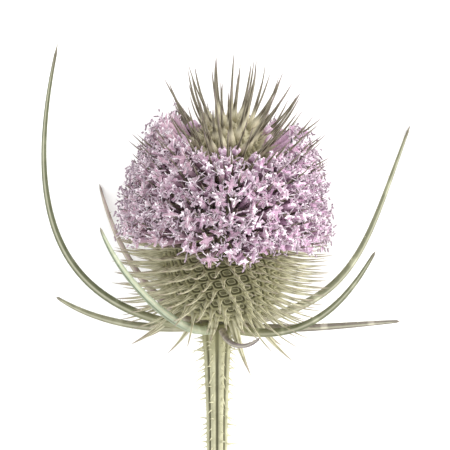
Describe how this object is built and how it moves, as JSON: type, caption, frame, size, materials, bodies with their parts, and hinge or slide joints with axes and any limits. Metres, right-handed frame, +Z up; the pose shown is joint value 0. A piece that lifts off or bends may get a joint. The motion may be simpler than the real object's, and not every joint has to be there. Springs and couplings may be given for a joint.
{
  "type": "teasel flower head",
  "caption": "Teasel head in flower: a spiny green head with a ring of lilac florets, long curved bracts and a short cut stem, lying on its side.",
  "frame": {"origin": "centre of the bounding box's underside, on the surface that the head lies on", "axes": "+Y from the cut end of the stem to the crown, +Z up through the side that the picture shows, +X to the picture's right"},
  "size_m": [0.0836, 0.101, 0.0522],
  "materials": {
    "stem_green": "ridged grey-green plant stem with cream prickles",
    "bract_green": "grey-green keeled blade, matte, with a paler keel",
    "spine_green": "yellow-green spines with dark tips on a pale net of cells",
    "floret_lilac": "soft matte lilac petals with paler lobes"
  },
  "bodies": {
    "root": {"stem": "stem_green", "bract_back_left": "bract_green", "bract_back_short": "bract_green", "bract_front_left": "bract_green", "bract_front_right": "bract_green", "bract_left_long": "bract_green", "bract_left_low": "bract_green", "bract_right_curved": "bract_green", "bract_right_long": "bract_green", "bract_right_low": "bract_green", "receptacle": "spine_green", "floret_band": "floret_lilac"}
  },
  "joints": []
}
